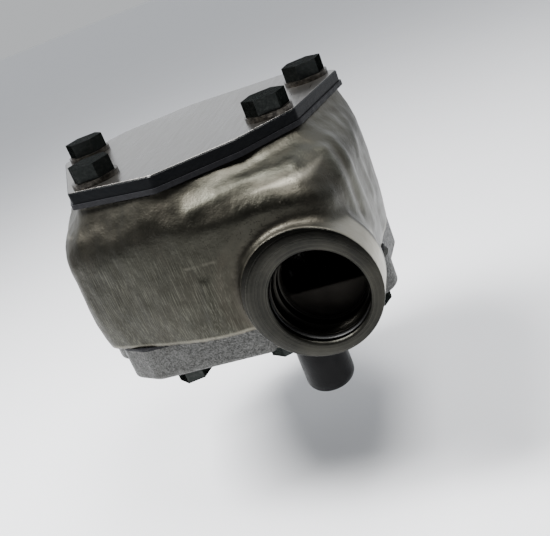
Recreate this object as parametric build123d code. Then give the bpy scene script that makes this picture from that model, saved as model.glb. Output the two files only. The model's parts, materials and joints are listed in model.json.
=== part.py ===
from build123d import *
import math
import os

# Float and thermostatic steam trap with a side inlet socket and a capped outlet below.
# Origin: centre of the machined face of the inlet socket. The socket faces -Y, the cover is on top (+Z).
# All sizes are in millimetres.

# --- inlet socket ---
SOCKET_R = 19.15             # takes a 38.1 mm tube
SOCKET_DEPTH = 12.0
SOCKET_CHAMFER = 0.8
INNER_LAND_R = 18.0
INNER_LAND_END = 16.0
PASSAGE_R = 17.0
PASSAGE_END = 36.0
PASSAGE_FLOOR_Z = -4.0       # past the boss the passage keeps above the base joint
POCKET_WALL = 2.5
SEAL_GROOVE_Y = (3.0, 6.6)
SEAL_GROOVE_R = 22.0
SEAL_SECTION_R = 1.4
BOSS_R = 27.0
BOSS_X = -2.0                # the cast boss is a little off the bore's axis
BOSS_Z = 2.2
BOSS_LENGTH = 21.0
BOSS_FLARE_R = 33.0
BOSS_FLARE_LENGTH = 8.0

# --- body casting: the cover's outline, and how far each corner swells out below the neck ---
COVER_OUTLINE = [(-88, 23), (-46, 8), (-14, 22), (7, 42), (20, 93), (-9, 129), (-62, 134), (-97, 121),
                 (-119, 90)]
CORNER_SWELL = [(-15, -3), (-3, -6.5), (24, -17), (13, -16), (3.5, -1), (1, 7.5), (-2, 7), (-6, 7), (-9, 1)]
SWELL_BY_HEIGHT = [(-9, 0.92), (4, 0.98), (20, 1.0), (36, 0.95), (43, 0.72), (48, 0.30), (51, 0.03),
                   (55, -0.05)]
BODY_BOTTOM_Z = -9.0
BODY_TOP_Z = 55.0
CORNER_R = 7.0
WALL = 7.0
MOUTH_RIM = 9.0

# --- cover and its fasteners (M10) ---
GASKET_T = 2.0
GASKET_LIP = 0.8
COVER_T = 5.0
COVER_CORNER_R = 3.0
COVER_BOLTS = [(-104, 89), (-77.5, 31), (-4, 46), (6, 93)]
M10 = {"shank_r": 5.0, "flats": 16.0, "head": 6.4, "washer_r": 10.0, "washer_t": 2.0}
COVER_BOLT_REACH = 18.0      # shank length inside the body
COLUMN_R = 9.0
COLUMN_BOTTOM_Z = 24.0

# --- base flange and its fasteners (M8, heads below) ---
BASE_GASKET_T = 1.0
BASE_T = 15.0
BASE_OUTLINE = [(-82, 13), (-28, 13), (-28, 22), (6, 22), (16, 36), (21, 92), (-9, 133), (-64, 139),
                (-101, 126), (-125, 89), (-102, 33), (-95, 20)]
NOTCH_CORNER_R = 3.0
BASE_CORNER_R = 9.0
BASE_EDGE_R = 1.8
EAR_R = 12.5
EARS = [(-101, 51), (10, 49.5)]
BASE_BOLTS = EARS + [(-71, 25), (-28, 28), (-91, 115), (-6, 110)]
M8 = {"shank_r": 4.0, "flats": 13.0, "head": 5.3, "washer_r": 8.0, "washer_t": 1.6}
BASE_BOLT_REACH = 10.0
LUG_R = 8.5
LUG_TOP_Z = 5.0
FOOT_T = 5.0                 # inner foot that reaches in over the base's edge

# --- outlet ---
OUTLET = (-20.0, 46.0)
OUTLET_HOLE_R = 7.0
OUTLET_PAD_R = 11.5
OUTLET_PAD_T = 3.0
NIPPLE_R = 8.0
NIPPLE_BORE_R = 5.0
NIPPLE_LENGTH = 32.0
NIPPLE_COLLAR = (11.0, 3.0)  # radius, height
CAP_R = 11.3
CAP_LENGTH = 33.0
CAP_END_T = 3.0
CAP_END_ROUND = 6.0
CAP_CLEARANCE = 0.06
GALLERY_R = 2.5
GALLERY_Z = -18.0
DRILL_START_Y = 145.0        # past the base's back edge, where the gallery is drilled from
PLUG_R = 4.0
PLUG_LENGTH = 8.0

# --- valve gear: the lever runs from its pivot over the seat to the float ---
LEVER_HEADING = 150.0        # degrees from +X, seen from above
LEVER_SLOPE = 7.0            # upward, with the valve closed
PIVOT_BACK = 13.0            # from the seat's axis back to the pivot
PIVOT_Z = 8.0
PIN_R = 2.0
PIN_LENGTH = 20.0
PIN_CLEARANCE = 0.03
CLIP = (3.8, 0.8, 8.3)       # radius, thickness, distance from the lever's middle
BRACKET_T = 2.0
BRACKET_FOOT = (12.0, 15.4)
CHEEK = (8.0, 1.8)           # width, thickness
CHEEK_SIDE = 6.8
CHEEK_ABOVE_PIN = 4.5
BRACKET_SCREW_R = 1.6
BRACKET_SCREW_HEAD = (2.6, 2.4)
BRACKET_SCREW_REACH = 7.0
BRACKET_SCREW_SIDE = 3.2
LEVER_T = 3.0
LEVER_W = 8.0
FLOAT_R = 22.0
FLOAT_SHELL = 1.0
FLOAT_REACH = 72.0
SEAT_FLATS = 17.0
SEAT_NOSE_Z = -1.0
SEAT_NOSE_R = 5.5
ORIFICE_R = 3.0
VALVE_BALL_R = 4.5
VALVE_GAP = 0.05
SEAT_WASHER_T = 1.0

# --- thermostatic air vent on its stand-pipe ---
VENT = (-20.0, 98.0)
VENT_TUBE_R = 4.0
VENT_TUBE_BORE_R = 2.2
VENT_DISC_R = 11.5
VENT_DISC_Z = (26.0, 29.0)
VENT_TOP_Z = 52.0
VENT_SEAT_TOP_Z = 33.0
VENT_ORIFICE_R = 1.5
VENT_BALL_R = 2.6
VENT_GAP = 1.2
CAPSULE_R = 9.0
CAPSULE_Z = (39.0, 45.0)

BASE_TOP_Z = BODY_BOTTOM_Z - BASE_GASKET_T
BASE_BOTTOM_Z = BASE_TOP_Z - BASE_T
PAD_BOTTOM_Z = BASE_BOTTOM_Z - OUTLET_PAD_T
COVER_Z = BODY_TOP_Z + GASKET_T
COVER_TOP_Z = COVER_Z + COVER_T


def rod(radius, z_low, z_high, at=(0, 0)):
    """Upright cylinder between two heights."""
    middle = (z_low + z_high) / 2
    return Pos(at[0], at[1], middle) * Cylinder(radius, z_high - z_low)


def rod_y(radius, y_low, y_high, x=0.0, z=0.0):
    """Cylinder along Y between two stations."""
    return Pos(x, (y_low + y_high) / 2, z) * Rot(90, 0, 0) * Cylinder(radius, y_high - y_low)


def hexagon(flats, z_low, z_high, at=(0, 0), turn=0.0):
    """Upright hexagonal prism."""
    sketch = RegularPolygon(flats / 2, 6, major_radius=False, rotation=turn)
    return Pos(at[0], at[1], z_low) * extrude(sketch, z_high - z_low)


def outline(points, radius):
    """Closed outline with rounded corners."""
    sketch = make_face(Polyline(*points, close=True))
    return fillet(sketch.vertices(), radius)


def slab(sketch, z_low, z_high):
    """Plate between two heights."""
    return Pos(0, 0, z_low) * extrude(sketch, z_high - z_low)


def body_corners(swell):
    """Corners of the body's outline for a share of the full swell."""
    return [(x + swell * dx, y + swell * dy) for (x, y), (dx, dy) in zip(COVER_OUTLINE, CORNER_SWELL)]


def body_sections(inset):
    """Outlines of the body at each height, moved in by inset."""
    sections = []
    for z, swell in SWELL_BY_HEIGHT:
        sketch = make_face(Polyline(*body_corners(swell), close=True))
        if inset:
            sketch = offset(sketch, -inset, kind=Kind.INTERSECTION)
        sections.append(Pos(0, 0, z) * fillet(sketch.vertices(), CORNER_R))
    return sections


def body_outer():
    """Outside of the chamber: a neck under the cover that swells to a full belly."""
    return loft(body_sections(0), ruled=True)


def boss_stub():
    """Round stub that holds the whole socket."""
    return rod_y(BOSS_R, 0, BOSS_LENGTH, BOSS_X, BOSS_Z)


def boss_flare():
    """Spread of the stub into the wall, above the base joint."""
    cone = Cone(BOSS_R, BOSS_FLARE_R, BOSS_FLARE_LENGTH)
    flare = Pos(BOSS_X, BOSS_FLARE_LENGTH / 2, BOSS_Z) * Rot(-90, 0, 0) * cone
    height = BODY_TOP_Z - 10 - BODY_BOTTOM_Z
    x_low, x_high = BOSS_X - BOSS_FLARE_R, BOSS_X + 0.75 * BOSS_R
    middle = Pos((x_low + x_high) / 2, BOSS_LENGTH, BODY_BOTTOM_Z + height / 2)
    return flare & middle * Box(x_high - x_low, 2 * BOSS_LENGTH, height)


def chamber():
    """Float chamber, with a narrower mouth under the cover."""
    room = loft(body_sections(WALL)[:5], ruled=True)
    mouth = slab(offset(outline(COVER_OUTLINE, CORNER_R), -MOUTH_RIM), SWELL_BY_HEIGHT[4][0], BODY_TOP_Z)
    return room + mouth


def inlet_bore():
    """Machined socket with its seal groove, and the cast passage behind it."""
    cut = rod_y(SOCKET_R, 0, SOCKET_DEPTH)
    chamfer = Cone(SOCKET_R + SOCKET_CHAMFER, SOCKET_R, SOCKET_CHAMFER)
    cut += Pos(0, SOCKET_CHAMFER / 2, 0) * Rot(-90, 0, 0) * chamfer
    cut += rod_y(SEAL_GROOVE_R, *SEAL_GROOVE_Y)
    cut += rod_y(INNER_LAND_R, SOCKET_DEPTH, INNER_LAND_END)
    passage = rod_y(PASSAGE_R, INNER_LAND_END, PASSAGE_END)
    above_floor = Pos(0, PASSAGE_END / 2, PASSAGE_FLOOR_Z + 2 * PASSAGE_R) * Box(60, PASSAGE_END, 4 * PASSAGE_R)
    pocket = rod_y(PASSAGE_R, INNER_LAND_END, BOSS_LENGTH - POCKET_WALL)
    return cut + (passage & above_floor) + pocket


def body_foot():
    """Plan of the body's bottom face: everything that closes on the base, with the bolt lugs."""
    rim = Pos(0, 0, -BODY_BOTTOM_Z) * body_sections(0)[0]
    foot = rim - offset(rim & base_plan(), -WALL, kind=Kind.INTERSECTION)
    for at in BASE_BOLTS:
        foot += Pos(*at) * Circle(LUG_R) & rim
    return foot


def body_casting():
    outer = body_outer()
    columns = [rod(COLUMN_R, COLUMN_BOTTOM_Z, BODY_TOP_Z, at) for at in COVER_BOLTS]
    lugs = [rod(LUG_R, BODY_BOTTOM_Z, LUG_TOP_Z, at) for at in BASE_BOLTS]
    shape = outer - chamber()
    for piece in columns + lugs:
        shape += piece & outer
    shape += slab(body_foot(), BODY_BOTTOM_Z, BODY_BOTTOM_Z + FOOT_T)
    shape += boss_flare() - chamber()
    shape += boss_stub()
    shape -= inlet_bore()
    for at in COVER_BOLTS:
        shape -= rod(M10["shank_r"] + 0.05, BODY_TOP_Z - COVER_BOLT_REACH - 3, BODY_TOP_Z, at)
    for at in BASE_BOLTS:
        shape -= rod(M8["shank_r"] + 0.05, BODY_BOTTOM_Z, BODY_BOTTOM_Z + BASE_BOLT_REACH + 2, at)
    return shape


def cover_plate():
    plate = slab(outline(COVER_OUTLINE, COVER_CORNER_R), COVER_Z, COVER_TOP_Z)
    plate = chamfer(plate.edges().group_by(Axis.Z)[-1], 0.6)
    for at in COVER_BOLTS:
        plate -= rod(M10["shank_r"] + 0.5, COVER_Z, COVER_TOP_Z, at)
    return plate


def cover_gasket():
    face = offset(outline(COVER_OUTLINE, COVER_CORNER_R), GASKET_LIP)
    ring = slab(face - offset(outline(COVER_OUTLINE, CORNER_R), -MOUTH_RIM), BODY_TOP_Z, COVER_Z)
    for at in COVER_BOLTS:
        pad = slab(Pos(*at) * Circle(COLUMN_R) & face, BODY_TOP_Z, COVER_Z)
        ring = ring + pad - rod(M10["shank_r"] + 0.5, BODY_TOP_Z, COVER_Z, at)
    return ring


def hex_bolt(size, at, face_z, reach_z, turn):
    """Hex bolt whose head stands on face_z and whose shank ends at reach_z, above or below."""
    up = 1 if reach_z < face_z else -1
    head_far = face_z + up * size["head"]
    low, high = sorted((face_z, head_far))
    head = hexagon(size["flats"], low, high, at, turn)
    dome = Pos(at[0], at[1], (low + high) / 2) * Sphere(size["flats"] * 0.72)
    shank = rod(size["shank_r"], min(face_z, reach_z), max(face_z, reach_z), at)
    return (head & dome) + shank


def washer(size, at, z_low, z_high):
    return rod(size["washer_r"], z_low, z_high, at) - rod(size["shank_r"] + 0.3, z_low, z_high, at)


def cover_bolts():
    seat_z = COVER_TOP_Z + M10["washer_t"]
    turns = (12, 4, 16, 22)
    return [hex_bolt(M10, at, seat_z, BODY_TOP_Z - COVER_BOLT_REACH, turn) for at, turn in zip(COVER_BOLTS, turns)]


def cover_washers():
    return [washer(M10, at, COVER_TOP_Z, COVER_TOP_Z + M10["washer_t"]) for at in COVER_BOLTS]


def base_plan():
    """The base's outline without its ears. The notch for the inlet boss has tighter corners."""
    notch = Vector(*BASE_OUTLINE[2])
    sketch = make_face(Polyline(*BASE_OUTLINE, close=True))
    near = sketch.vertices().sort_by(lambda corner: (Vector(*corner) - notch).length)[:2]
    sketch = fillet(near, NOTCH_CORNER_R)
    far = sketch.vertices().filter_by(lambda corner: (Vector(*corner) - notch).length > 3 * NOTCH_CORNER_R)
    return fillet(far, BASE_CORNER_R)


def base_sketch():
    sketch = base_plan()
    for at in EARS:
        sketch += Pos(*at) * Circle(EAR_R)
    return sketch


def base_flange():
    plate = slab(base_sketch(), BASE_BOTTOM_Z, BASE_TOP_Z)
    plate = fillet(plate.edges().group_by(Axis.Z)[0], BASE_EDGE_R)
    plate += rod(OUTLET_PAD_R, PAD_BOTTOM_Z, BASE_BOTTOM_Z, OUTLET)
    plate -= rod(OUTLET_HOLE_R, PAD_BOTTOM_Z, BASE_TOP_Z, OUTLET)
    plate -= rod(VENT_TUBE_R, GALLERY_Z, BASE_TOP_Z, VENT)
    plate -= rod_y(GALLERY_R, OUTLET[1], DRILL_START_Y, OUTLET[0], GALLERY_Z)
    plate -= rod_y(PLUG_R, base_back_y() - PLUG_LENGTH, DRILL_START_Y, OUTLET[0], GALLERY_Z)
    for at in BASE_BOLTS:
        plate -= rod(M8["shank_r"] + 0.4, BASE_BOTTOM_Z, BASE_TOP_Z, at)
    for at in bracket_screw_places():
        plate -= rod(BRACKET_SCREW_R + 0.05, BASE_TOP_Z - BRACKET_SCREW_REACH - 1, BASE_TOP_Z, at)
    return plate


def base_back_y():
    """Where the base's back edge crosses the gallery's line."""
    (x1, y1), (x2, y2) = BASE_OUTLINE[6], BASE_OUTLINE[7]
    return y1 + (y2 - y1) * (OUTLET[0] - x1) / (x2 - x1)


def base_gasket():
    low, high = BASE_TOP_Z, BODY_BOTTOM_Z
    shape = slab(body_foot() & base_sketch(), low, high)
    for at in BASE_BOLTS:
        shape -= rod(M8["shank_r"] + 0.4, low, high, at)
    return shape


def base_bolts():
    seat_z = BASE_BOTTOM_Z - M8["washer_t"]
    return [hex_bolt(M8, at, seat_z, BODY_BOTTOM_Z + BASE_BOLT_REACH, 9 * i) for i, at in enumerate(BASE_BOLTS)]


def base_washers():
    return [washer(M8, at, BASE_BOTTOM_Z - M8["washer_t"], BASE_BOTTOM_Z) for at in BASE_BOLTS]


def inlet_seal_ring():
    y_mid = sum(SEAL_GROOVE_Y) / 2
    return Pos(0, y_mid, 0) * Rot(90, 0, 0) * Torus(SOCKET_R + 0.05 + SEAL_SECTION_R, SEAL_SECTION_R)


def outlet_nipple():
    collar_r, collar_h = NIPPLE_COLLAR
    low = PAD_BOTTOM_Z - NIPPLE_LENGTH
    shape = rod(NIPPLE_R, low, PAD_BOTTOM_Z, OUTLET)
    shape += hexagon(2 * collar_r * math.cos(math.pi / 6), PAD_BOTTOM_Z - collar_h, PAD_BOTTOM_Z, OUTLET)
    shape += rod(OUTLET_HOLE_R, PAD_BOTTOM_Z, GALLERY_Z - GALLERY_R - 0.5, OUTLET)
    shape -= rod(NIPPLE_BORE_R, low, GALLERY_Z, OUTLET)
    return shape


def outlet_cap():
    """Soft push-on cap with a rounded end and a thin rolled rim."""
    end_gap = 1.5
    inner_low = PAD_BOTTOM_Z - NIPPLE_LENGTH - end_gap
    low = inner_low - CAP_END_T
    high = low + CAP_LENGTH
    shell = rod(CAP_R, low, high, OUTLET)
    shell = fillet(shell.edges().group_by(Axis.Z)[0], CAP_END_ROUND)
    rim = Pos(OUTLET[0], OUTLET[1], high - 1.2) * Torus(CAP_R - 0.5, 1.2)
    return shell + rim - rod(NIPPLE_R + CAP_CLEARANCE, inner_low, high, OUTLET)


def gallery_plug():
    end_y = base_back_y() + 0.5
    plug = rod_y(PLUG_R, end_y - PLUG_LENGTH, end_y, OUTLET[0], GALLERY_Z)
    key = extrude(RegularPolygon(2.0, 6), 4)
    return plug - Pos(OUTLET[0], end_y, GALLERY_Z) * Rot(90, 0, 0) * key


# --- valve gear ---
def beside_seat(u, side=0.0):
    """Point in plan: u along the lever's heading from the seat, side to the left of it."""
    heading = math.radians(LEVER_HEADING)
    x = OUTLET[0] + u * math.cos(heading) - side * math.sin(heading)
    y = OUTLET[1] + u * math.sin(heading) + side * math.cos(heading)
    return x, y


def gear_frame():
    """Upright frame at the seat, X along the lever's heading."""
    return Pos(OUTLET[0], OUTLET[1], 0) * Rot(0, 0, LEVER_HEADING)


def lever_frame():
    """Frame at the pivot, X along the sloping lever."""
    return gear_frame() * Pos(-PIVOT_BACK, 0, PIVOT_Z) * Rot(0, -LEVER_SLOPE, 0)


def bracket_screw_places():
    return [beside_seat(-PIVOT_BACK - 5.5, side) for side in (-BRACKET_SCREW_SIDE, BRACKET_SCREW_SIDE)]


def valve_bracket():
    """Bent bracket: a foot on the base and two cheeks that carry the pivot pin."""
    low, high = BASE_TOP_Z, PIVOT_Z + CHEEK_ABOVE_PIN
    foot = Pos(-PIVOT_BACK - 2.5, 0, low + BRACKET_T / 2) * Box(*BRACKET_FOOT, BRACKET_T)
    cheek = Pos(-PIVOT_BACK - 0.5, 0, (low + high) / 2) * Box(*CHEEK, high - low)
    shape = foot + Pos(0, CHEEK_SIDE, 0) * cheek + Pos(0, -CHEEK_SIDE, 0) * cheek
    pin_hole = Pos(-PIVOT_BACK, 0, PIVOT_Z) * Rot(90, 0, 0) * Cylinder(PIN_R, PIN_LENGTH)
    shape = gear_frame() * (shape - pin_hole)
    for at in bracket_screw_places():
        shape -= rod(BRACKET_SCREW_R + 0.6, low, low + BRACKET_T, at)
    return shape


def bracket_screws():
    screws = []
    head_r, head_h = BRACKET_SCREW_HEAD
    seat_z = BASE_TOP_Z + BRACKET_T
    for at in bracket_screw_places():
        head = rod(head_r, seat_z, seat_z + head_h, at) - hexagon(2.5, seat_z + head_h / 2, seat_z + head_h, at)
        screws.append(head + rod(BRACKET_SCREW_R, BASE_TOP_Z - BRACKET_SCREW_REACH, seat_z, at))
    return screws


def pivot_pin():
    return lever_frame() * Rot(90, 0, 0) * Cylinder(PIN_R, PIN_LENGTH)


def pin_clips():
    radius, thickness, aside = CLIP
    slot = Pos(PIN_R + 1, 0, 0) * Box(radius, 2.2, thickness)
    ring = Cylinder(radius, thickness) - Cylinder(PIN_R, thickness) - slot
    return [lever_frame() * Pos(0, side * aside, 0) * Rot(90, 0, 0) * ring for side in (-1, 1)]


def valve_centre():
    """Centre of the valve's ball in the lever's frame, with the valve on its seat."""
    rise = SEAT_NOSE_Z + math.sqrt(VALVE_BALL_R ** 2 - ORIFICE_R ** 2) + VALVE_GAP - PIVOT_Z
    slope = math.radians(LEVER_SLOPE)
    along = PIVOT_BACK * math.cos(slope) + rise * math.sin(slope)
    up = -PIVOT_BACK * math.sin(slope) + rise * math.cos(slope)
    return along, up


def float_lever():
    bar = Pos(15, 0, 0) * Box(30, LEVER_W, LEVER_T)
    barrel = Rot(90, 0, 0) * Cylinder(4.5, 11.2)
    stem = Pos((28 + FLOAT_REACH - FLOAT_R) / 2, 0, 0) * Rot(0, 90, 0) * Cylinder(2.5, FLOAT_REACH - FLOAT_R - 28)
    shape = bar + barrel + stem
    shape -= Rot(90, 0, 0) * Cylinder(PIN_R + PIN_CLEARANCE, 12)
    shape -= Pos(valve_centre()[0], 0, 0) * Cylinder(1.8, 10)
    return lever_frame() * shape


def main_valve():
    along, up = valve_centre()
    ball = Pos(along, 0, up) * Sphere(VALVE_BALL_R)
    stem = rod(3.0, up, -LEVER_T / 2, (along, 0))
    stud = rod(1.8, -LEVER_T / 2, LEVER_T / 2 + 3.6, (along, 0))
    return lever_frame() * (ball + stem + stud)


def valve_nut():
    along = valve_centre()[0]
    low = LEVER_T / 2
    nut = hexagon(6.5, low, low + 2.6, (along, 0)) - rod(1.8, low, low + 2.6, (along, 0))
    return lever_frame() * nut


def float_ball():
    shell = Sphere(FLOAT_R) + Cylinder(FLOAT_R + 0.6, 1.6) - Sphere(FLOAT_R - FLOAT_SHELL)
    ball = Pos(FLOAT_REACH, 0, 0) * Rot(0, 90, 0) * shell
    socket_end = FLOAT_REACH - FLOAT_R
    socket = Pos(socket_end - 1, 0, 0) * Rot(0, 90, 0) * Cylinder(5, 5)
    bore = Pos(socket_end - 5, 0, 0) * Rot(0, 90, 0) * Cylinder(2.5, 10)
    return lever_frame() * (ball + socket - Pos(FLOAT_REACH, 0, 0) * Sphere(FLOAT_R - FLOAT_SHELL) - bore)


def float_nut():
    end = FLOAT_REACH - FLOAT_R - 3.5
    nut = extrude(RegularPolygon(4.0, 6, major_radius=False), 4) - Pos(0, 0, 2) * Cylinder(2.5, 4)
    return lever_frame() * Pos(end - 4, 0, 0) * Rot(0, 90, 0) * nut


def valve_seat():
    low = BASE_TOP_Z
    flange_low = low + SEAT_WASHER_T
    shape = rod(OUTLET_HOLE_R, low - 5, flange_low, OUTLET)
    shape += hexagon(SEAT_FLATS, flange_low, flange_low + 4.5, OUTLET, LEVER_HEADING)
    shape += rod(SEAT_NOSE_R, flange_low, SEAT_NOSE_Z, OUTLET)
    return shape - rod(ORIFICE_R, low - 5, SEAT_NOSE_Z, OUTLET)


def seat_washer():
    low = BASE_TOP_Z
    return rod(9.0, low, low + SEAT_WASHER_T, OUTLET) - rod(OUTLET_HOLE_R, low, low + SEAT_WASHER_T, OUTLET)


# --- thermostatic air vent ---
def vent_tube():
    low, high = GALLERY_Z + GALLERY_R + 0.3, VENT_DISC_Z[1]
    shape = rod(VENT_TUBE_R, low, high, VENT) + hexagon(12, BASE_TOP_Z, BASE_TOP_Z + 4, VENT)
    return shape - rod(VENT_TUBE_BORE_R, low, high, VENT)


def vent_frame():
    """Round table on the stand-pipe, with two posts and a bridge that hold the capsule."""
    table = rod(VENT_DISC_R, *VENT_DISC_Z, VENT) - rod(VENT_TUBE_R, *VENT_DISC_Z, VENT)
    posts = Pos(VENT[0], VENT[1], (VENT_DISC_Z[0] + VENT_TOP_Z) / 2) * Box(8, 22, VENT_TOP_Z - VENT_DISC_Z[0])
    gap_top = VENT_TOP_Z - 2.0
    posts -= Pos(VENT[0], VENT[1], (VENT_DISC_Z[0] + gap_top) / 2) * Box(8, 19, gap_top - VENT_DISC_Z[0])
    return table + posts - rod(2.0, gap_top, VENT_TOP_Z, VENT)


def vent_seat():
    low = VENT_DISC_Z[1]
    shape = hexagon(10, low, low + 2, VENT) + rod(3.5, low, VENT_SEAT_TOP_Z, VENT)
    return shape - rod(VENT_ORIFICE_R, low, VENT_SEAT_TOP_Z, VENT)


def capsule_lens():
    """Radius of the capsule's dished discs, and how far their centres lie from its middle."""
    lens_r = CAPSULE_R * 1.8
    return lens_r, math.sqrt(lens_r ** 2 - (CAPSULE_R - 1) ** 2) - 0.3


def vent_capsule():
    """Two dished discs welded at the rim, with a stud on top."""
    low, high = CAPSULE_Z
    mid = (low + high) / 2
    lens_r, lens_off = capsule_lens()
    upper = Pos(*VENT, mid - lens_off) * Sphere(lens_r)
    lower = Pos(*VENT, mid + lens_off) * Sphere(lens_r)
    lens = upper & lower & rod(CAPSULE_R, low, high, VENT)
    rim = rod(CAPSULE_R, mid - 0.5, mid + 0.5, VENT)
    stud = rod(2.0, mid, VENT_TOP_Z + 1.5, VENT)
    return lens + rim + stud


def vent_clip():
    """Spring clip that grips the capsule's stud above the bridge."""
    low, high = VENT_TOP_Z, VENT_TOP_Z + 1.0
    slot = Pos(VENT[0] + 3.5, VENT[1], (low + high) / 2) * Box(4, 2, high - low)
    return rod(4.5, low, high, VENT) - rod(2.0, low, high, VENT) - slot


def vent_valve():
    """Ball valve that the capsule pushes down onto its seat when it is hot."""
    centre_z = VENT_SEAT_TOP_Z + math.sqrt(VENT_BALL_R ** 2 - VENT_ORIFICE_R ** 2) + VENT_GAP + VALVE_GAP
    ball = Pos(*VENT, centre_z) * Sphere(VENT_BALL_R)
    return ball + rod(1.4, centre_z, capsule_bottom_z(), VENT)


def capsule_bottom_z():
    """Underside of the capsule's lower disc on its axis."""
    lens_r, lens_off = capsule_lens()
    return sum(CAPSULE_Z) / 2 + lens_off - lens_r


NODES = [body_casting, cover_plate, cover_gasket, cover_bolts, cover_washers, base_flange, base_gasket,
         base_bolts, base_washers, inlet_seal_ring, outlet_nipple, outlet_cap, gallery_plug, valve_seat, seat_washer,
         valve_bracket, bracket_screws, pivot_pin, pin_clips, float_lever, float_ball, float_nut, main_valve,
         valve_nut, vent_tube, vent_frame, vent_seat, vent_capsule, vent_clip, vent_valve]

os.makedirs("parts", exist_ok=True)
for node in NODES:
    made = node()
    if isinstance(made, list):
        made = Compound(children=made)
    export_step(made, f"parts/{node.__name__}.step")
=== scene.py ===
import json
import math

import bpy
import numpy as np
from mathutils import Matrix, Vector


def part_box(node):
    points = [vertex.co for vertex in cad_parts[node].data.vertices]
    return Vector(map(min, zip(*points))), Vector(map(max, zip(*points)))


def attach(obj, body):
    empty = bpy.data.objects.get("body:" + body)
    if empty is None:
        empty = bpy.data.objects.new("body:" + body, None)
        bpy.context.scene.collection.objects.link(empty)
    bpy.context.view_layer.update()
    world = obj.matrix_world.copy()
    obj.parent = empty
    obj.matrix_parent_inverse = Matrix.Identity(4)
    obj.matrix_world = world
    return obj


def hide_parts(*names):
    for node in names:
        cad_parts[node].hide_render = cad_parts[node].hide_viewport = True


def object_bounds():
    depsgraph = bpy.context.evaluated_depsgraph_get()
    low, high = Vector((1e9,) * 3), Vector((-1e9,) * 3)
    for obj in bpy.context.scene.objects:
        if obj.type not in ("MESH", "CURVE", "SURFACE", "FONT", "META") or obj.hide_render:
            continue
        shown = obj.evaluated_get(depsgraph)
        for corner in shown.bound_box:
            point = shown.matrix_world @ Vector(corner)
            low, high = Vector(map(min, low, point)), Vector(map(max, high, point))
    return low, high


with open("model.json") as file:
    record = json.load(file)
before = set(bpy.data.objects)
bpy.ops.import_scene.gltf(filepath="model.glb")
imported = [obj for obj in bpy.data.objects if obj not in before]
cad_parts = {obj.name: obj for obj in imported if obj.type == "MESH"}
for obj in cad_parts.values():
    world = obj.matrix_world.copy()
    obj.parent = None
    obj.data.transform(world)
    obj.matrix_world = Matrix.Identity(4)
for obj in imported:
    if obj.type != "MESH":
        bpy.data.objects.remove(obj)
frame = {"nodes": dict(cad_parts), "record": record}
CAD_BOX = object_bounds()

MM = 0.001
BODY = "trap_body"
BACKDROP = (0.56, 0.575, 0.59)
FLOOR_SIZE = 24.0                           # metres
FLOOR_DROP = 0.042                          # metres below the cap, which slides down 40 mm off its stub
BRIGHT_WAY = (-0.15, 0.97, -0.1)            # the studio is pale behind and dim in front

# --- shape of the casting, in millimetres, in the CAD model's frame ---
CELL = 1.0                                  # grid step of the casting's surface
COVER_OUTLINE = [(-88, 23), (-46, 8), (-14, 22), (7, 42), (20, 93), (-9, 129), (-62, 134), (-97, 121),
                 (-119, 90)]
BELLY_OUTLINE = [(-103, 20), (-49, 1.5), (-37, 0.3), (11, 6), (20, 26), (23.5, 92), (-8, 136.5), (-64, 141),
                 (-103, 128), (-128, 91)]
COVER_ROUNDING, BELLY_ROUNDING = 2.0, 2.6   # of the outlines' corners
BODY_LOW, BODY_HIGH = -9.0, 55.0
BELLY_TOP, BELLY_SLOPE = 52.5, 0.40         # the slope is the fall per millimetre beyond the cover
LEFT_DROP, LEFT_DROP_X, LEFT_DROP_REACH = 3.0, -68.0, 8.0
DRAFT, DRAFT_HIGH = 1.6, 10.0               # the wall leans in below this height
NECK_INSET = 1.2
SHOULDER_FILLET, NECK_FILLET, BOSS_FILLET = 16.0, 7.0, 4.0
UNEVENNESS = [(0.35, 26, 3), (0.12, 9, 5)]  # height, size, seed
BOSS_AXIS = (-2.0, 2.2)                     # x, z
BOSS_R = 27.0
BOSS_LENGTH = 21.0
BOSS_TAPER, BOSS_TAPER_FROM = 0.35, 20.0    # the boss narrows as it runs into the right wall
BOSS_CUT_R = 2.0                            # round cut beside the boss, at its front
MOAT_GAP, MOAT_Y, MOAT_R = 3.5, -0.5, 4.5   # trough round the boss
FACE_T = 0.6                                # machined skin on the boss
SOCKET_R, SOCKET_END = 19.15, 12.0
CHAMFER_R, CHAMFER_END = 20.0, 0.85
GROOVE_R, GROOVE_START, GROOVE_END = 22.0, 3.0, 6.6
LAND_R = 18.0                               # narrower bore behind the socket
LINER_R, LINER_END = 23.2, 16.0
LINER_SEGMENTS = 160
RIM_R = 26.0                                # the machined face is centred on the boss from this radius out
EDGE_BREAK = 0.1
PASSAGE_R, PASSAGE_END = 17.0, 36.0
ROOM_LOW, ROOM_TOP, ROOM_INSET = -4.0, 40.0, 9.0
MOUTH_LOW, MOUTH_INSET = 38.0, 9.0
WELL_FRONT, WELL_INSET = 30.0, 11.0         # the well joins the chamber to the base
COLUMNS = [(-104, 89), (-77.5, 31), (-4, 46), (6, 93)]
LUGS = [(-101, 51), (10, 49.5), (-71, 25), (-28, 28), (-91, 115), (-6, 110)]
COLUMN_R, COLUMN_LOW = 9.0, 24.0
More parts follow.
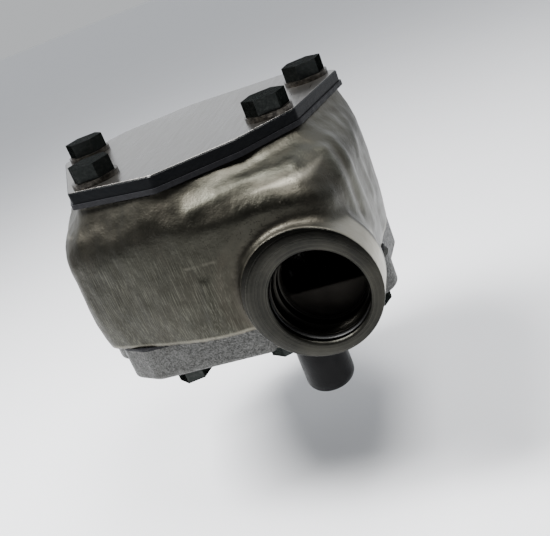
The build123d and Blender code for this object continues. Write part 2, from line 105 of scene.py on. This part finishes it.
FOLDS = [                                   # raised (or, below zero, sunken) lines: points, height, width
    ([(-36, 5.6, 44.9), (-21, 9.2, 46.9), (-14, 13.2, 48.4), (-7, 16.6, 48.2), (3, 21, 47)], 0.5, 3.0),
    ([(-46, 4.1, 40.2), (-28, 3.1, 37.7), (-10, 5.3, 38.6), (5, 8.1, 37.4), (14, 15.6, 32.3)], 0.55, 4.2),
    ([(14.5, 33, 44.5), (17.8, 27.6, 35), (18.7, 29, 23.4), (17, 30, 8)], 0.8, 3.2),
    ([(17, 45, 45), (20, 41, 36), (20.5, 43, 24), (20, 46, 6)], 0.7, 3.6),
    ([(18, 38, 42), (19.5, 35, 33), (19.5, 36, 16)], -0.6, 2.8),
    ([(19.9, 70, 44.5), (21.8, 60, 30), (22, 64, 13)], 0.7, 3.5),
    ([(-41, 3.1, 16.2), (-43.5, 3.6, 6), (-45.5, 4.4, -4)], 0.7, 1.8),
]
SCRATCH = [(-46.2, 3.5, 24.2), (-40, 3, 24.6), (-33.3, 2.7, 24.3)]
LUG_R, LUG_HIGH = 8.5, 5.0
GRID_LOW_Z, GRID_MARGIN = -26.0, 2.2
GRID_HIGH = (29.0, 145.0, 58.0)


# ---------------------------------------------------------------- distance fields
def smooth_min(a, b, reach):
    """Union of two distance fields with a fillet of about this reach."""
    near = np.clip(0.5 + 0.5 * (b - a) / reach, 0, 1)
    return b + (a - b) * near - reach * near * (1 - near)


def smooth_max(a, b, reach):
    return -smooth_min(-a, -b, reach)


def bell(value, middle, width):
    """1 at the middle, and towards 0 on both sides."""
    return np.exp(-((value - middle) / width) ** 2)


def fade(value, middle, width):
    """1 well below the middle, and 0 well above it."""
    return 1 / (1 + np.exp((value - middle) / width))


def prism(x, y, outline, rounding):
    """Distance to a convex upright prism whose corners are rounded."""
    total = np.zeros_like(x)
    count = len(outline)
    for i in range(count):
        (x1, y1), (x2, y2) = outline[i], outline[(i + 1) % count]
        length = math.hypot(x2 - x1, y2 - y1)
        side = ((x - x1) * (y2 - y1) - (y - y1) * (x2 - x1)) / length
        total += np.exp(np.clip(side / rounding, -40, 40))
    return rounding * np.log(total)


def rod_field(x, y, at, radius):
    return np.hypot(x - at[0], y - at[1]) - radius


def lumps(x, y, z, size, seed):
    """Smooth unevenness between about -1 and 1, from a few crossed waves."""
    rng = np.random.default_rng(seed)
    total = np.zeros_like(x)
    for _ in range(7):
        way = rng.normal(size=3)
        way *= 2 * math.pi / (size * rng.uniform(0.7, 1.5) * np.linalg.norm(way))
        total += np.sin(x * way[0] + y * way[1] + z * way[2] + rng.uniform(0, 6.3))
    return total / 4


def line_distance(x, y, z, points):
    """Distance to the nearest of a line's straight runs."""
    nearest = np.full(np.shape(x), 1e3)
    for start, end in zip(points[:-1], points[1:]):
        ahead = np.subtract(end, start)
        share = (x - start[0]) * ahead[0] + (y - start[1]) * ahead[1] + (z - start[2]) * ahead[2]
        share = np.clip(share / (ahead ** 2).sum(), 0, 1)
        gap = [v - (s + share * a) for v, s, a in zip((x, y, z), start, ahead)]
        nearest = np.minimum(nearest, np.sqrt(gap[0] ** 2 + gap[1] ** 2 + gap[2] ** 2))
    return nearest


def folds(x, y, z):
    """Relief of the casting's long folds."""
    total = np.zeros(np.shape(x))
    for points, height, width in FOLDS:
        total += height * bell(line_distance(x, y, z, points), 0, width)
    return total


def belly_height(x, y):
    """Height of the swelling's top, which slopes down away from the cover."""
    beyond = np.maximum(prism(x, y, COVER_OUTLINE, COVER_ROUNDING), 0)
    return BELLY_TOP - BELLY_SLOPE * beyond - LEFT_DROP * fade(x, LEFT_DROP_X, LEFT_DROP_REACH)


def boss_distance(x, z):
    """Distance out from the boss's round side."""
    return np.hypot(x - BOSS_AXIS[0], z - BOSS_AXIS[1]) - BOSS_R


def moat(x, y, z):
    """Shallow trough that the foundry left round the boss."""
    return np.hypot(boss_distance(x, z) - MOAT_GAP, y - MOAT_Y) - MOAT_R


def outside_field(x, y, z):
    """The casting's outside, as a filled shape."""
    neck = prism(x, y, COVER_OUTLINE, COVER_ROUNDING) + NECK_INSET
    draft = DRAFT * np.clip((DRAFT_HIGH - z) / (DRAFT_HIGH - BODY_LOW), 0, 1) ** 2
    belly = prism(x, y, BELLY_OUTLINE, BELLY_ROUNDING) + draft
    belly = smooth_max(belly, z - belly_height(x, y), SHOULDER_FILLET)
    outer = smooth_min(neck, belly, NECK_FILLET)
    outer = smooth_max(outer, -moat(x, y, z), BOSS_FILLET)
    for height, size, seed in UNEVENNESS:
        outer = outer + height * lumps(x, y, z, size, seed)
    outer = outer - folds(x, y, z)
    boss = boss_distance(x, z)
    root = boss + BOSS_TAPER * np.maximum(y - BOSS_TAPER_FROM, 0)
    outer = smooth_min(outer, np.maximum(root, y - 2 * BOSS_LENGTH), BOSS_FILLET)
    outer = np.maximum(outer, BOSS_CUT_R - np.hypot(boss - BOSS_CUT_R, y))
    outer = np.maximum(outer, BODY_LOW - z)
    outer = np.minimum(outer, np.maximum(root, y - BOSS_LENGTH))
    return np.maximum(np.maximum(outer, z - BODY_HIGH), FACE_T / 2 - y)


def hollow_field(x, y, z):
    """Chamber, mouth and well, less the boss, bolt columns and lugs, and with the inlet cut through."""
    belly = prism(x, y, BELLY_OUTLINE, BELLY_ROUNDING)
    room = np.maximum(np.maximum(belly + ROOM_INSET, z - ROOM_TOP), ROOM_LOW - z)
    mouth = np.maximum(prism(x, y, COVER_OUTLINE, COVER_ROUNDING) + MOUTH_INSET, MOUTH_LOW - z)
    well = np.maximum(np.maximum(belly + WELL_INSET, z), WELL_FRONT - y)
    room = np.minimum(smooth_min(room, mouth, 4), well)
    bore = np.hypot(x, z)
    room = np.maximum(room, -np.maximum(boss_distance(x, z), y - BOSS_LENGTH))
    for at in COLUMNS:
        room = np.maximum(room, -np.maximum(rod_field(x, y, at, COLUMN_R), COLUMN_LOW - z))
    for at in LUGS:
        room = np.maximum(room, -np.maximum(rod_field(x, y, at, LUG_R), z - LUG_HIGH))
    hole = np.maximum(bore - LINER_R, y - (LINER_END + 2 * EDGE_BREAK))
    pocket = smooth_max(bore - PASSAGE_R, y - (BOSS_LENGTH - 2.5), 3)
    passage = np.maximum(smooth_max(bore - PASSAGE_R, ROOM_LOW - z, 4), y - PASSAGE_END)
    return np.minimum(np.minimum(room, hole), np.minimum(pocket, passage))


def casting_field(x, y, z):
    return np.maximum(outside_field(x, y, z), -hollow_field(x, y, z))


# ---------------------------------------------------------------- meshes
def surface_net(field, low, step):
    """Quad mesh of the field's zero surface: one point in each crossed cell."""
    inside = field < 0
    shape = np.array(field.shape) - 1
    corner = [(i, j, k) for i in (0, 1) for j in (0, 1) for k in (0, 1)]
    cut = [slice(0, -1), slice(1, None)]
    count = np.zeros(shape, np.int32)
    total = np.zeros((*shape, 3))
    for a in corner:
        for axis in range(3):
            if a[axis]:
                continue
            b = list(a)
            b[axis] = 1
            fa = field[tuple(cut[i] for i in a)]
            fb = field[tuple(cut[i] for i in b)]
            crossed = (fa < 0) != (fb < 0)
            share = np.where(crossed, fa / np.where(crossed, fa - fb, 1), 0)
            for d in range(3):
                place = a[d] + (share if d == axis else 0)
                total[..., d] += np.where(crossed, place, 0)
            count += crossed
    used = count > 0
    index = -np.ones(shape, np.int64)
    index[used] = np.arange(used.sum())
    cells = np.argwhere(used)
    points = low + step * (cells + total[used] / count[used][:, None])
    faces = []
    for axis in range(3):
        first = [slice(1, -1)] * 3
        second = [slice(1, -1)] * 3
        first[axis] = slice(0, -1)
        second[axis] = slice(1, None)
        fa, fb = inside[tuple(first)], inside[tuple(second)]
        for flip, crossed in ((False, fa & ~fb), (True, ~fa & fb)):
            at = np.argwhere(crossed)
            for d in range(3):
                if d != axis:
                    at[:, d] += 1
            u, v = (axis + 1) % 3, (axis + 2) % 3
            ring = []
            for du, dv in ((1, 1), (0, 1), (0, 0), (1, 0)):
                cell = at.copy()
                cell[:, u] -= du
                cell[:, v] -= dv
                ring.append(index[tuple(cell.T)])
            quad = np.stack(ring[::-1] if flip else ring, axis=1)
            faces.append(quad)
    return points, np.concatenate(faces)


def mesh_object(name, points, faces, material):
    """Smooth-shaded object from points in millimetres."""
    mesh = bpy.data.meshes.new(name)
    mesh.from_pydata((np.asarray(points) * MM).tolist(), [], [list(map(int, f)) for f in faces])
    mesh.validate()
    mesh.materials.append(material)
    mesh.polygons.foreach_set("use_smooth", [True] * len(mesh.polygons))
    obj = bpy.data.objects.new(name, mesh)
    bpy.context.scene.collection.objects.link(obj)
    return obj


def field_slope(points, probe=0.05):
    """How the casting's field rises along x, y and z."""
    slopes = []
    for way in probe * np.eye(3):
        rise = casting_field(*(points + way).T) - casting_field(*(points - way).T)
        slopes.append(rise / (2 * probe))
    return np.stack(slopes, axis=1)


def casting_mesh(material):
    """The casting, with its points moved from the grid onto the true surface."""
    low = np.array([CAD_BOX[0][0] / MM, CAD_BOX[0][1] / MM, GRID_LOW_Z]) - GRID_MARGIN
    counts = np.ceil((np.array(GRID_HIGH) - low) / CELL).astype(int) + 1
    axes = [low[d] + CELL * np.arange(counts[d]) for d in range(3)]
    grid = np.meshgrid(*axes, indexing="ij")
    points, faces = surface_net(casting_field(*grid), low, CELL)
    for _ in range(3):
        value = casting_field(*points.T)
        slope = field_slope(points)
        size = np.maximum((slope ** 2).sum(axis=1), 0.25)
        step = np.clip(value / size, -0.5, 0.5)
        points -= step[:, None] * slope
    obj = mesh_object("casting", points, faces, material)
    paint_casting(obj, points)
    return obj


def liner_profile():
    """Section of the machined face and socket, as (radius, y)."""
    edge = EDGE_BREAK
    face = [(LINER_R, LINER_END), (LINER_R, FACE_T), (BOSS_R - 0.01, FACE_T), (BOSS_R, FACE_T - 0.2),
            (BOSS_R - 0.05, 0.15), (BOSS_R - 0.2, 0.0)]
    chamfer = [(CHAMFER_R, 0.0), (CHAMFER_R - 0.15, 0.08), (SOCKET_R + 0.05, CHAMFER_END - 0.15),
               (SOCKET_R, CHAMFER_END)]
    groove = [(SOCKET_R, GROOVE_START - edge), (SOCKET_R + edge, GROOVE_START),
              (GROOVE_R, GROOVE_START + edge / 2), (GROOVE_R, GROOVE_END - edge / 2),
              (SOCKET_R + edge, GROOVE_END), (SOCKET_R, GROOVE_END + edge)]
    step = [(SOCKET_R, SOCKET_END - edge), (LAND_R + edge, SOCKET_END), (LAND_R, SOCKET_END + edge)]
    end = [(LAND_R, LINER_END - edge), (LAND_R - edge, LINER_END), (PASSAGE_R, LINER_END + edge / 2),
           (PASSAGE_R, LINER_END + 3 * edge), (LINER_R, LINER_END)]
    return face + chamfer + groove + step + end


def inlet_liner(material):
    """Machined face and socket, turned about Y. The rim follows the boss, a little off the bore's axis."""
    profile = liner_profile()
    points, faces = [], []
    for i in range(LINER_SEGMENTS):
        angle = 2 * math.pi * i / LINER_SEGMENTS
        for radius, y in profile:
            middle = BOSS_AXIS if radius >= RIM_R else (0, 0)
            points.append((middle[0] + radius * math.cos(angle), y, middle[1] + radius * math.sin(angle)))
    n = len(profile)
    for i in range(LINER_SEGMENTS):
        j = (i + 1) % LINER_SEGMENTS
        for k in range(n - 1):
            faces.append((i * n + k, i * n + k + 1, j * n + k + 1, j * n + k))
    return mesh_object("inlet_socket_face", points, faces, material)


# ---------------------------------------------------------------- materials
class Graph:
    """Short calls for building one material. Coordinates are the object's, in metres."""

    def __init__(self, name, metallic, roughness):
        self.material = bpy.data.materials.new(name)
        self.material.use_nodes = True
        self.tree = self.material.node_tree
        self.shader = self.tree.nodes["Principled BSDF"]
        self.place = self.node("ShaderNodeTexCoord").outputs["Object"]
        self.set("Metallic", metallic)
        self.set("Roughness", roughness)

    def node(self, kind, values=None, **settings):
        made = self.tree.nodes.new(kind)
        for key, value in settings.items():
            setattr(made, key, value)
        for key, value in (values or {}).items():
            self.fill(made.inputs[key], value)
        return made

    def fill(self, socket, value):
        if isinstance(value, bpy.types.NodeSocket):
            self.tree.links.new(value, socket)
        elif isinstance(value, tuple) and len(value) == 3 and socket.type == "RGBA":
            socket.default_value = (*value, 1)
        else:
            socket.default_value = value

    def set(self, name, value):
        self.fill(self.shader.inputs[name], value)

    def noise(self, scale, detail, place=None):
        values = {"Vector": place or self.place, "Scale": scale, "Detail": detail, "Roughness": 0.55}
        return self.node("ShaderNodeTexNoise", values).outputs["Fac"]

    def cells(self, scale):
        values = {"Vector": self.place, "Scale": scale}
        return self.node("ShaderNodeTexVoronoi", values).outputs["Distance"]

    def stretch(self, factors, turn=(0, 0, 0)):
        values = {"Vector": self.place, "Scale": factors, "Rotation": turn}
        return self.node("ShaderNodeMapping", values).outputs["Vector"]

    def attribute(self, name):
        return self.node("ShaderNodeAttribute", attribute_name=name).outputs["Fac"]

    def math(self, operation, a, b):
        return self.node("ShaderNodeMath", {0: a, 1: b}, operation=operation).outputs[0]

    def span(self, value, low, high, out_low=0.0, out_high=1.0):
        """Maps low..high to out_low..out_high, clamped."""
        values = {"Value": value, "From Min": low, "From Max": high, "To Min": out_low, "To Max": out_high}
        return self.node("ShaderNodeMapRange", values, clamp=True).outputs["Result"]

    def mix(self, share, a, b):
        values = {0: share, 6: a, 7: b}
        return self.node("ShaderNodeMix", values, data_type="RGBA").outputs[2]

    def axis(self, letter):
        return self.node("ShaderNodeSeparateXYZ", {0: self.place}).outputs[letter]

    def bump(self, height, depth, below=None):
        """Relief of this depth in metres, over the relief made before."""
        values = {"Height": height, "Distance": depth, "Strength": 1.0}
        if below:
            values["Normal"] = below
        return self.node("ShaderNodeBump", values).outputs["Normal"]


def cast_metal():
    """Cleaned-up grey casting: upright strokes on the ground wall, convex edges lightened as a painted
    highlight, hollows darkened as painted shade, painted shade over the port, under the cover and on faces
    turned to -Y, and dark pits.
    """
    g = Graph("cast_metal", 1.0, 0.4)
    names = ("ground", "crease_shade", "ridge_highlight_and_scratch", "pits_and_painted_shade", "inner", "painted_front_shade")
    ground, crease_shade, ridge_highlight_and_scratch, pits_and_painted_shade, inner, painted_front_shade = (g.attribute(name) for name in names)
    broad = g.noise(38, 4)
    patch = g.noise(120, 5)
    grain = g.noise(1500, 3)
    upright = g.stretch((1, 1, 0.035))
    strokes = g.noise(3000, 3, upright)
    wide_strokes = g.noise(1100, 3, g.stretch((1, 1, 0.03), (0.0, 0.07, 0.0)))
    colour = g.mix(g.span(broad, 0.35, 0.65), (0.043, 0.0425, 0.034), (0.076, 0.075, 0.060))
    colour = g.mix(g.span(patch, 0.42, 0.75, 0, 0.45), colour, (0.058, 0.051, 0.039))
    # painted shade: faces turned towards -Y are darkened, standing in for the dim light in front
    colour = g.mix(g.math("MULTIPLY", painted_front_shade, 0.75), colour, (0.020, 0.0198, 0.0155))
    lit = g.math("MULTIPLY", ground, g.span(strokes, 0.50, 0.64, 0, 0.7))
    colour = g.mix(lit, colour, (0.086, 0.084, 0.067))
    worn = g.math("MULTIPLY", ground, g.span(wide_strokes, 0.32, 0.48, 0.4, 0))
    colour = g.mix(worn, colour, (0.032, 0.030, 0.024))
    # painted highlight: convex edges are lightened, and the real scratch along SCRATCH is lightened a little
    # with them
    colour = g.mix(g.math("MULTIPLY", ridge_highlight_and_scratch, 0.8), colour, (0.40, 0.375, 0.305))
    # painted shade: concave places are darkened and browned
    colour = g.mix(g.math("MULTIPLY", crease_shade, 0.8), colour, (0.075, 0.063, 0.05))
    # painted shade: the band over the port and the zone under the cover are darkened; the real pits below use
    # the same mask
    colour = g.mix(g.math("MULTIPLY", pits_and_painted_shade, 0.55), colour, (0.022, 0.0205, 0.0165))
    colour = g.mix(inner, colour, (0.035, 0.032, 0.028))
    holes = g.math("MULTIPLY", g.span(g.cells(1250), 0.10, 0.36, 1, 0), g.span(g.noise(300, 2), 0.44, 0.54))
    holes = g.math("MULTIPLY", holes, pits_and_painted_shade)
    colour = g.mix(holes, colour, (0.02, 0.018, 0.015))
    g.set("Base Color", colour)
    rough = g.math("ADD", g.span(patch, 0.3, 0.7, 0.34, 0.46), g.math("MULTIPLY", ground, 0.07))
    rough = g.math("ADD", rough, g.math("MULTIPLY", crease_shade, 0.15))
    rough = g.math("ADD", rough, g.math("MULTIPLY", holes, 0.4))
    g.set("Roughness", g.math("ADD", rough, g.math("MULTIPLY", inner, 0.3)))
    normal = g.bump(g.noise(160, 3), 0.0004)
    normal = g.bump(g.math("MULTIPLY", strokes, ground), 0.0001, normal)
    normal = g.bump(grain, 0.00003, normal)
    normal = g.bump(g.math("MULTIPLY", g.noise(700, 2), pits_and_painted_shade), 0.00012, normal)
    normal = g.bump(holes, -0.00005, normal)
    g.set("Normal", normal)
    return g.material


def turned_face():
    """Machined face and socket, with rings left by the tool."""
    g = Graph("turned_face", 1.0, 0.3)
    flat = g.stretch((1, 0, 1))
    radius = g.node("ShaderNodeVectorMath", {0: flat}, operation="LENGTH").outputs["Value"]
    rings = g.node("ShaderNodeTexNoise", {"W": radius, "Scale": 2600.0, "Detail": 3.0}, noise_dimensions="1D")
    wide = g.node("ShaderNodeTexNoise", {"W": radius, "Scale": 600.0, "Detail": 2.0}, noise_dimensions="1D")
    cloud = g.noise(70, 4)
    colour = g.mix(g.span(cloud, 0.35, 0.7), (0.012, 0.012, 0.011), (0.026, 0.025, 0.021))
    colour = g.mix(g.span(rings.outputs["Fac"], 0.45, 0.7, 0, 0.5), colour, (0.042, 0.041, 0.034))
    depth = g.axis("Y")
    in_socket = g.span(depth, (CHAMFER_END + 0.05) * MM, (CHAMFER_END + 0.35) * MM, 0, 0.5)
    past_liner = g.span(depth, (LINER_END + 0.1) * MM, (LINER_END + 0.8) * MM)
    # painted shade: the socket is darkened past its chamfer, where shade falls inside the bore
    colour = g.mix(in_socket, colour, (0.010, 0.009, 0.008))
    colour = g.mix(past_liner, colour, (0.05, 0.045, 0.04))
    g.set("Base Color", colour)
    g.set("Roughness", g.span(wide.outputs["Fac"], 0.3, 0.7, 0.26, 0.34))
    g.set("Anisotropic", 0.4)
    tangent = g.node("ShaderNodeTangent", direction_type="RADIAL", axis="Y")
    g.set("Tangent", tangent.outputs[0])
    normal = g.bump(rings.outputs["Fac"], 0.00005)
    g.set("Normal", g.bump(g.noise(900, 3), 0.00008, normal))
    return g.material


def cover_metal():
    """Satin ground plate, with glossy black edges below its rubbed rim."""
    g = Graph("cover_metal", 1.0, 0.3)
    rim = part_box("cover_plate")[1][2] - 0.1 * MM
    side = g.span(g.axis("Z"), rim - 0.05 * MM, rim + 0.05 * MM, 1, 0)
    along = g.stretch((1, 0.03, 1), (0, 0, 0.5))
    strokes = g.noise(1800, 3, along)
    smear = g.noise(26, 4)
    colour = g.mix(g.span(smear, 0.35, 0.7), (0.145, 0.136, 0.124), (0.215, 0.208, 0.198))
    colour = g.mix(g.span(strokes, 0.4, 0.7, 0, 0.35), colour, (0.125, 0.115, 0.102))
    colour = g.mix(side, colour, (0.0012, 0.0016, 0.0022))
    g.set("Base Color", colour)
    g.set("Metallic", g.span(side, 0, 1, 1, 0))
    g.set("Specular IOR Level", 0.08)
    satin = g.math("ADD", g.span(smear, 0.3, 0.7, 0.24, 0.36), g.span(strokes, 0.3, 0.7, -0.03, 0.05))
    g.set("Roughness", g.math("MULTIPLY", satin, g.span(side, 0, 1, 1, 0.75)))
    normal = g.bump(strokes, 0.00004)
    g.set("Normal", g.bump(g.noise(300, 3), 0.0001, normal))
    return g.material


def black_oxide():
    g = Graph("black_oxide", 1.0, 0.4)
    g.set("Specular Tint", (0.12, 0.13, 0.13))
    wear = g.noise(700, 4)
    colour = g.mix(g.span(wear, 0.45, 0.75), (0.018, 0.020, 0.019), (0.032, 0.034, 0.032))
    g.set("Base Color", colour)
    g.set("Roughness", g.span(g.noise(420, 4), 0.3, 0.7, 0.34, 0.46))
    g.set("Normal", g.bump(g.noise(1400, 3), 0.00012))
    return g.material


def washer_metal():
    g = Graph("washer_metal", 1.0, 0.38)
    wear = g.noise(500, 4)
    g.set("Base Color", g.mix(g.span(wear, 0.4, 0.7), (0.030, 0.027, 0.024), (0.11, 0.10, 0.085)))
    g.set("Roughness", g.span(g.noise(300, 4), 0.3, 0.7, 0.28, 0.5))
    g.set("Normal", g.bump(g.noise(1600, 2), 0.00008))
    return g.material


def gasket_sheet():
    g = Graph("gasket_sheet", 0.0, 0.5)
    g.set("Specular IOR Level", 0.08)
    g.set("Base Color", g.mix(g.noise(600, 4), (0.006, 0.006, 0.007), (0.018, 0.018, 0.020)))
    g.set("Roughness", g.span(g.noise(250, 3), 0.3, 0.7, 0.35, 0.6))
    g.set("Normal", g.bump(g.noise(1800, 2), 0.0001))
    return g.material


def cast_aluminium():
    """As-cast aluminium: pale, with a sandy grain and darker specks."""
    g = Graph("cast_aluminium", 0.85, 0.5)
    grain = g.noise(1500, 5)
    stain = g.noise(90, 5)
    colour = g.mix(g.span(grain, 0.35, 0.68), (0.034, 0.034, 0.032), (0.112, 0.112, 0.107))
    colour = g.mix(g.span(stain, 0.5, 0.8, 0, 0.5), colour, (0.052, 0.050, 0.044))
    colour = g.mix(g.span(g.cells(1300), 0.05, 0.16, 0.7, 0), colour, (0.12, 0.115, 0.11))
    g.set("Base Color", colour)
    g.set("Roughness", g.span(g.noise(500, 3), 0.3, 0.7, 0.42, 0.62))
    g.set("Normal", g.bump(g.noise(420, 2), 0.0004, g.bump(grain, 0.0003)))
    return g.material


def soft_plastic():
    g = Graph("soft_plastic", 0.0, 0.36)
    g.set("Specular IOR Level", 0.08)
    g.set("Base Color", g.mix(g.noise(300, 4), (0.0012, 0.0012, 0.0014), (0.003, 0.003, 0.0034)))
    g.set("Roughness", g.span(g.noise(180, 4), 0.3, 0.7, 0.28, 0.48))
    g.set("Normal", g.bump(g.noise(900, 3), 0.0001))
    return g.material


def rubber_black():
    g = Graph("rubber_black", 0.0, 0.45)
    g.set("Base Color", g.mix(g.noise(700, 3), (0.006, 0.006, 0.006), (0.018, 0.018, 0.018)))
    g.set("Roughness", g.span(g.noise(300, 3), 0.3, 0.7, 0.35, 0.55))
    g.set("Normal", g.bump(g.noise(1500, 2), 0.00005))
    return g.material


def bare_steel(name, dark, light, rough):
    g = Graph(name, 1.0, rough)
    g.set("Base Color", g.mix(g.span(g.noise(240, 4), 0.35, 0.7), dark, light))
    g.set("Roughness", g.span(g.noise(380, 4), 0.3, 0.7, rough - 0.08, rough + 0.1))
    g.set("Normal", g.bump(g.noise(1700, 3), 0.00006))
    return g.material


def finishes():
    """One material for each of the record's slots, apart from the casting's."""
    return {
        "cover_steel": cover_metal(),
        "gasket_sheet": gasket_sheet(),
        "black_oxide": black_oxide(),
        "washer_steel": washer_metal(),
        "cast_aluminium": cast_aluminium(),
        "cap_plastic": soft_plastic(),
        "seal_rubber": rubber_black(),
        "turned_steel": bare_steel("turned_steel", (0.15, 0.147, 0.138), (0.23, 0.226, 0.213), 0.3),
        "hard_steel": bare_steel("hard_steel", (0.22, 0.22, 0.215), (0.30, 0.30, 0.295), 0.2),
        "soft_steel": bare_steel("soft_steel", (0.13, 0.127, 0.118), (0.20, 0.196, 0.187), 0.38),
        "pressed_stainless": bare_steel("pressed_stainless", (0.19, 0.187, 0.183), (0.27, 0.266, 0.26), 0.3),
        "float_stainless": bare_steel("float_stainless", (0.24, 0.237, 0.232), (0.32, 0.317, 0.31), 0.22),
    }


# ---------------------------------------------------------------- the object
def paint_casting(obj, points):
    """Stores for the material where the casting is ground, hollow (painted shade), raised (painted highlight,
    with the real scratch), pocked and shaded (real pits, with painted shade over the port and under the
    cover), inside, or turned towards -Y (painted shade).
    """
    mesh = obj.data
    normals = np.array([v.normal[:] for v in mesh.vertices])
    x, y, z = points.T
    reach = 3.0
    ahead = casting_field(*(points + reach * normals).T)
    behind = casting_field(*(points - reach * normals).T)
    # concave places, darkened in the material as painted shade
    crease_shade = np.clip((reach - ahead) / 2.2, 0, 1)
    # convex places, lightened in the material as a painted highlight; the scratch is added to the same mask
    ridge_highlight_and_scratch = np.clip((reach + behind) / 2.4 - 0.25, 0, 1)
    scratch = bell(line_distance(x, y, z, SCRATCH), 0, 0.3)
    ridge_highlight_and_scratch = np.clip(ridge_highlight_and_scratch + 0.15 * scratch, 0, 1)
    upright = np.clip(1.6 - 4 * np.abs(normals[:, 2]), 0, 1)
    left_front = fade(x, -33, 2.5) * fade(z + 0.12 * (x + 60), 30, 5)
    ground = np.clip(0.08 + left_front, 0, 1) * upright
    # zones over the port and under the cover, darkened in the material as painted shade and given real pits
    over_port = bell(x, -4, 30) * bell(z, 33, 9) * (y < 30)
    under_cover = bell(x, -52, 26) * bell(z, 40, 8) * (y < 20)
    off_boss = 1 - fade(boss_distance(x, z), -1, 0.5)
    pits_and_painted_shade = np.clip(1.2 * over_port + 0.7 * under_cover, 0, 1) * off_boss
    inner = 1.0 * (outside_field(x, y, z) < -1.2)
    # faces turned towards -Y, darkened in the material as painted shade
    painted_front_shade = np.clip(-2.0 * normals[:, 1] - 0.8, 0, 1)
    for name, values in (("ground", ground), ("crease_shade", crease_shade), ("ridge_highlight_and_scratch", ridge_highlight_and_scratch), ("pits_and_painted_shade", pits_and_painted_shade),
                         ("inner", inner), ("painted_front_shade", painted_front_shade)):
        layer = mesh.attributes.new(name, "FLOAT", "POINT")
        layer.data.foreach_set("value", values.astype(np.float32))


finish = finishes()
casting = casting_mesh(cast_metal())
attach(casting, BODY)
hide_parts("body_casting")
liner = inlet_liner(turned_face())
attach(liner, BODY)

slot_of = {part["node"]: part["material_slot"] for part in frame["record"]["subparts"]}
for name, obj in frame["nodes"].items():
    if name != "body_casting":
        obj.data.materials.clear()
        obj.data.materials.append(finish[slot_of[name]])


# ---------------------------------------------------------------- camera, light and floor
def camera():
    data = bpy.data.cameras.new("camera")
    data.sensor_width = 36.0
    data.lens = 52.36
    cam = bpy.data.objects.new("camera", data)
    bpy.context.scene.collection.objects.link(cam)
    right = Vector((0.9251, 0.1480, -0.3496))
    up = Vector((0.2572, 0.4329, 0.8639))
    back = Vector((0.2792, -0.8892, 0.3625))
    turn = Matrix((right, up, back)).transposed()
    cam.matrix_world = Matrix.Translation((0.07089, -0.2623, 0.12343)) @ turn.to_4x4()
    bpy.context.scene.camera = cam


def area_light(name, at, aim, size, power):
    data = bpy.data.lights.new(name, "AREA")
    data.shape = "RECTANGLE"
    data.size, data.size_y = size
    data.energy = power
    obj = bpy.data.objects.new(name, data)
    bpy.context.scene.collection.objects.link(obj)
    obj.location = at
    obj.rotation_euler = (Vector(aim) - Vector(at)).to_track_quat("-Z", "Y").to_euler()
    return obj


def studio_light():
    """Pale behind and dim in front, as the metal reflects it. The camera itself sees one plain grey."""
    world = bpy.data.worlds.new("studio")
    bpy.context.scene.world = world
    world.use_nodes = True
    tree = world.node_tree
    tree.nodes.clear()
    link = tree.links.new
    way = tree.nodes.new("ShaderNodeTexCoord")
    toward = tree.nodes.new("ShaderNodeVectorMath")
    toward.operation = "DOT_PRODUCT"
    toward.inputs[1].default_value = BRIGHT_WAY
    link(way.outputs["Generated"], toward.inputs[0])
    depth = tree.nodes.new("ShaderNodeMapRange")
    depth.interpolation_type = "SMOOTHSTEP"
    link(toward.outputs["Value"], depth.inputs["Value"])
    for key, value in (("From Min", -0.45), ("From Max", 0.75), ("To Min", 0.12), ("To Max", 1.35)):
        depth.inputs[key].default_value = value
    room = tree.nodes.new("ShaderNodeBackground")
    room.inputs["Color"].default_value = (0.93, 0.96, 1.0, 1)
    link(depth.outputs["Result"], room.inputs["Strength"])
    seen = tree.nodes.new("ShaderNodeBackground")
    seen.inputs["Color"].default_value = (*BACKDROP, 1)
    path = tree.nodes.new("ShaderNodeLightPath")
    choose = tree.nodes.new("ShaderNodeMixShader")
    link(path.outputs["Is Camera Ray"], choose.inputs["Fac"])
    link(room.outputs[0], choose.inputs[1])
    link(seen.outputs[0], choose.inputs[2])
    link(choose.outputs[0], tree.nodes.new("ShaderNodeOutputWorld").inputs["Surface"])


def studio():
    studio_light()
    half = FLOOR_SIZE / 2
    z = CAD_BOX[0][2] - FLOOR_DROP
    corners = [(-half, -half, z), (half, -half, z), (half, half, z), (-half, half, z)]
    mesh = bpy.data.meshes.new("floor")
    mesh.from_pydata(corners, [], [(0, 1, 2, 3)])
    g = Graph("floor_paper", 0.0, 0.75)
    g.set("Base Color", g.mix(g.noise(14, 3), (0.84, 0.845, 0.865), (0.87, 0.875, 0.89)))
    mesh.materials.append(g.material)
    floor = bpy.data.objects.new("floor", mesh)
    bpy.context.scene.collection.objects.link(floor)
    lights = [
        area_light("key", (-0.33, -0.08, 0.62), (-0.04, 0.03, 0.03), (0.26, 0.36), 17.0),
        area_light("fill", (0.16, 0.02, 0.66), (0.0, 0.03, 0.03), (0.34, 0.26), 6.0),
    ]


camera()
studio()
